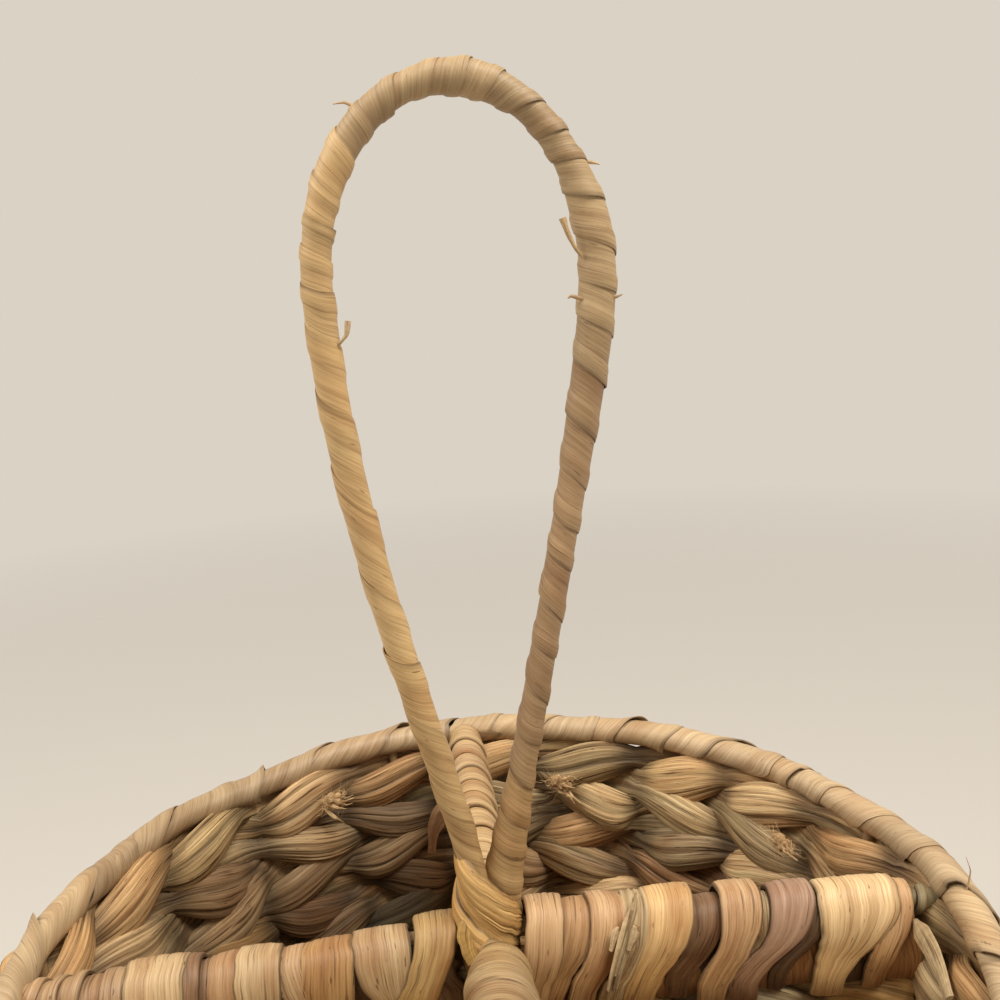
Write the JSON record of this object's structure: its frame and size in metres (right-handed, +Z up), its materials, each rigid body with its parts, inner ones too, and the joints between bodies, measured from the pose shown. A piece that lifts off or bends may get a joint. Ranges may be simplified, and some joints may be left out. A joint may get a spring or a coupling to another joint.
{
  "type": "cutlery caddy",
  "caption": "Round woven cutlery caddy on a wire frame, with crossed dividers, a strip-wrapped rim and a tall drop-shaped carrying loop that rises from the middle.",
  "frame": {"origin": "centre of the base's underside, on the table", "axes": "+Z up, +X to the right along the left and right dividers, +Y to the back"},
  "size_m": [0.2108, 0.2114, 0.3041],
  "materials": {
    "frame_wire": "dull drawn wire",
    "rim_strip": "matt dried leaf strip, pale straw",
    "handle_strip": "smooth dried leaf strip, straw gold",
    "divider_strip": "broad dried leaf strip, tan to golden with fibre streaks",
    "binding_strip": "dried leaf strip, golden",
    "lashing_strip": "dried leaf strip, grey green",
    "wall_stem": "dried twisted stem, straw to grey brown with lengthwise ridges",
    "panel_stem": "dried twisted stem, brown",
    "base_stem": "dried twisted stem, straw brown"
  },
  "bodies": {
    "root": {"rim_hoop": "frame_wire", "rim_wrap": "rim_strip", "wall_stake_01": "frame_wire", "wall_stake_02": "frame_wire", "wall_stake_03": "frame_wire", "wall_stake_04": "frame_wire", "wall_stake_05": "frame_wire", "wall_stake_06": "frame_wire", "wall_stake_07": "frame_wire", "wall_stake_08": "frame_wire", "wall_stake_09": "frame_wire", "wall_stake_10": "frame_wire", "wall_stake_11": "frame_wire", "wall_stake_12": "frame_wire", "wall_stake_13": "frame_wire", "wall_stake_14": "frame_wire", "wall_stake_15": "frame_wire", "wall_stake_16": "frame_wire", "wall_stake_17": "frame_wire", "wall_stake_18": "frame_wire", "wall_stake_19": "frame_wire", "wall_stake_20": "frame_wire", "wall_stake_21": "frame_wire", "wall_row_1": "wall_stem", "wall_row_2": "wall_stem", "wall_row_3": "wall_stem", "wall_row_4": "wall_stem", "wall_row_5": "wall_stem", "wall_row_6": "wall_stem", "wall_row_7": "wall_stem", "wall_row_8": "wall_stem", "wall_row_9": "wall_stem", "wall_row_10": "wall_stem", "wall_row_11": "wall_stem", "base_ring": "frame_wire", "base_cross": "frame_wire", "base_mat": "base_stem", "divider_rail_left": "frame_wire", "divider_wrap_left": "divider_strip", "divider_panel_left": "panel_stem", "divider_hairpin_left": "frame_wire", "divider_lashing_left": "lashing_strip", "divider_rail_right": "frame_wire", "divider_wrap_right": "divider_strip", "divider_panel_right": "panel_stem", "divider_hairpin_right": "frame_wire", "divider_lashing_right": "lashing_strip", "divider_rail_front": "frame_wire", "divider_wrap_front": "divider_strip", "divider_panel_front": "panel_stem", "divider_hairpin_front": "frame_wire", "divider_lashing_front": "lashing_strip", "divider_rail_back": "frame_wire", "divider_wrap_back": "divider_strip", "divider_panel_back": "panel_stem", "divider_hairpin_back": "frame_wire", "divider_lashing_back": "lashing_strip", "handle_wire": "frame_wire", "handle_wrap": "handle_strip", "handle_binding": "binding_strip"}
  },
  "joints": []
}
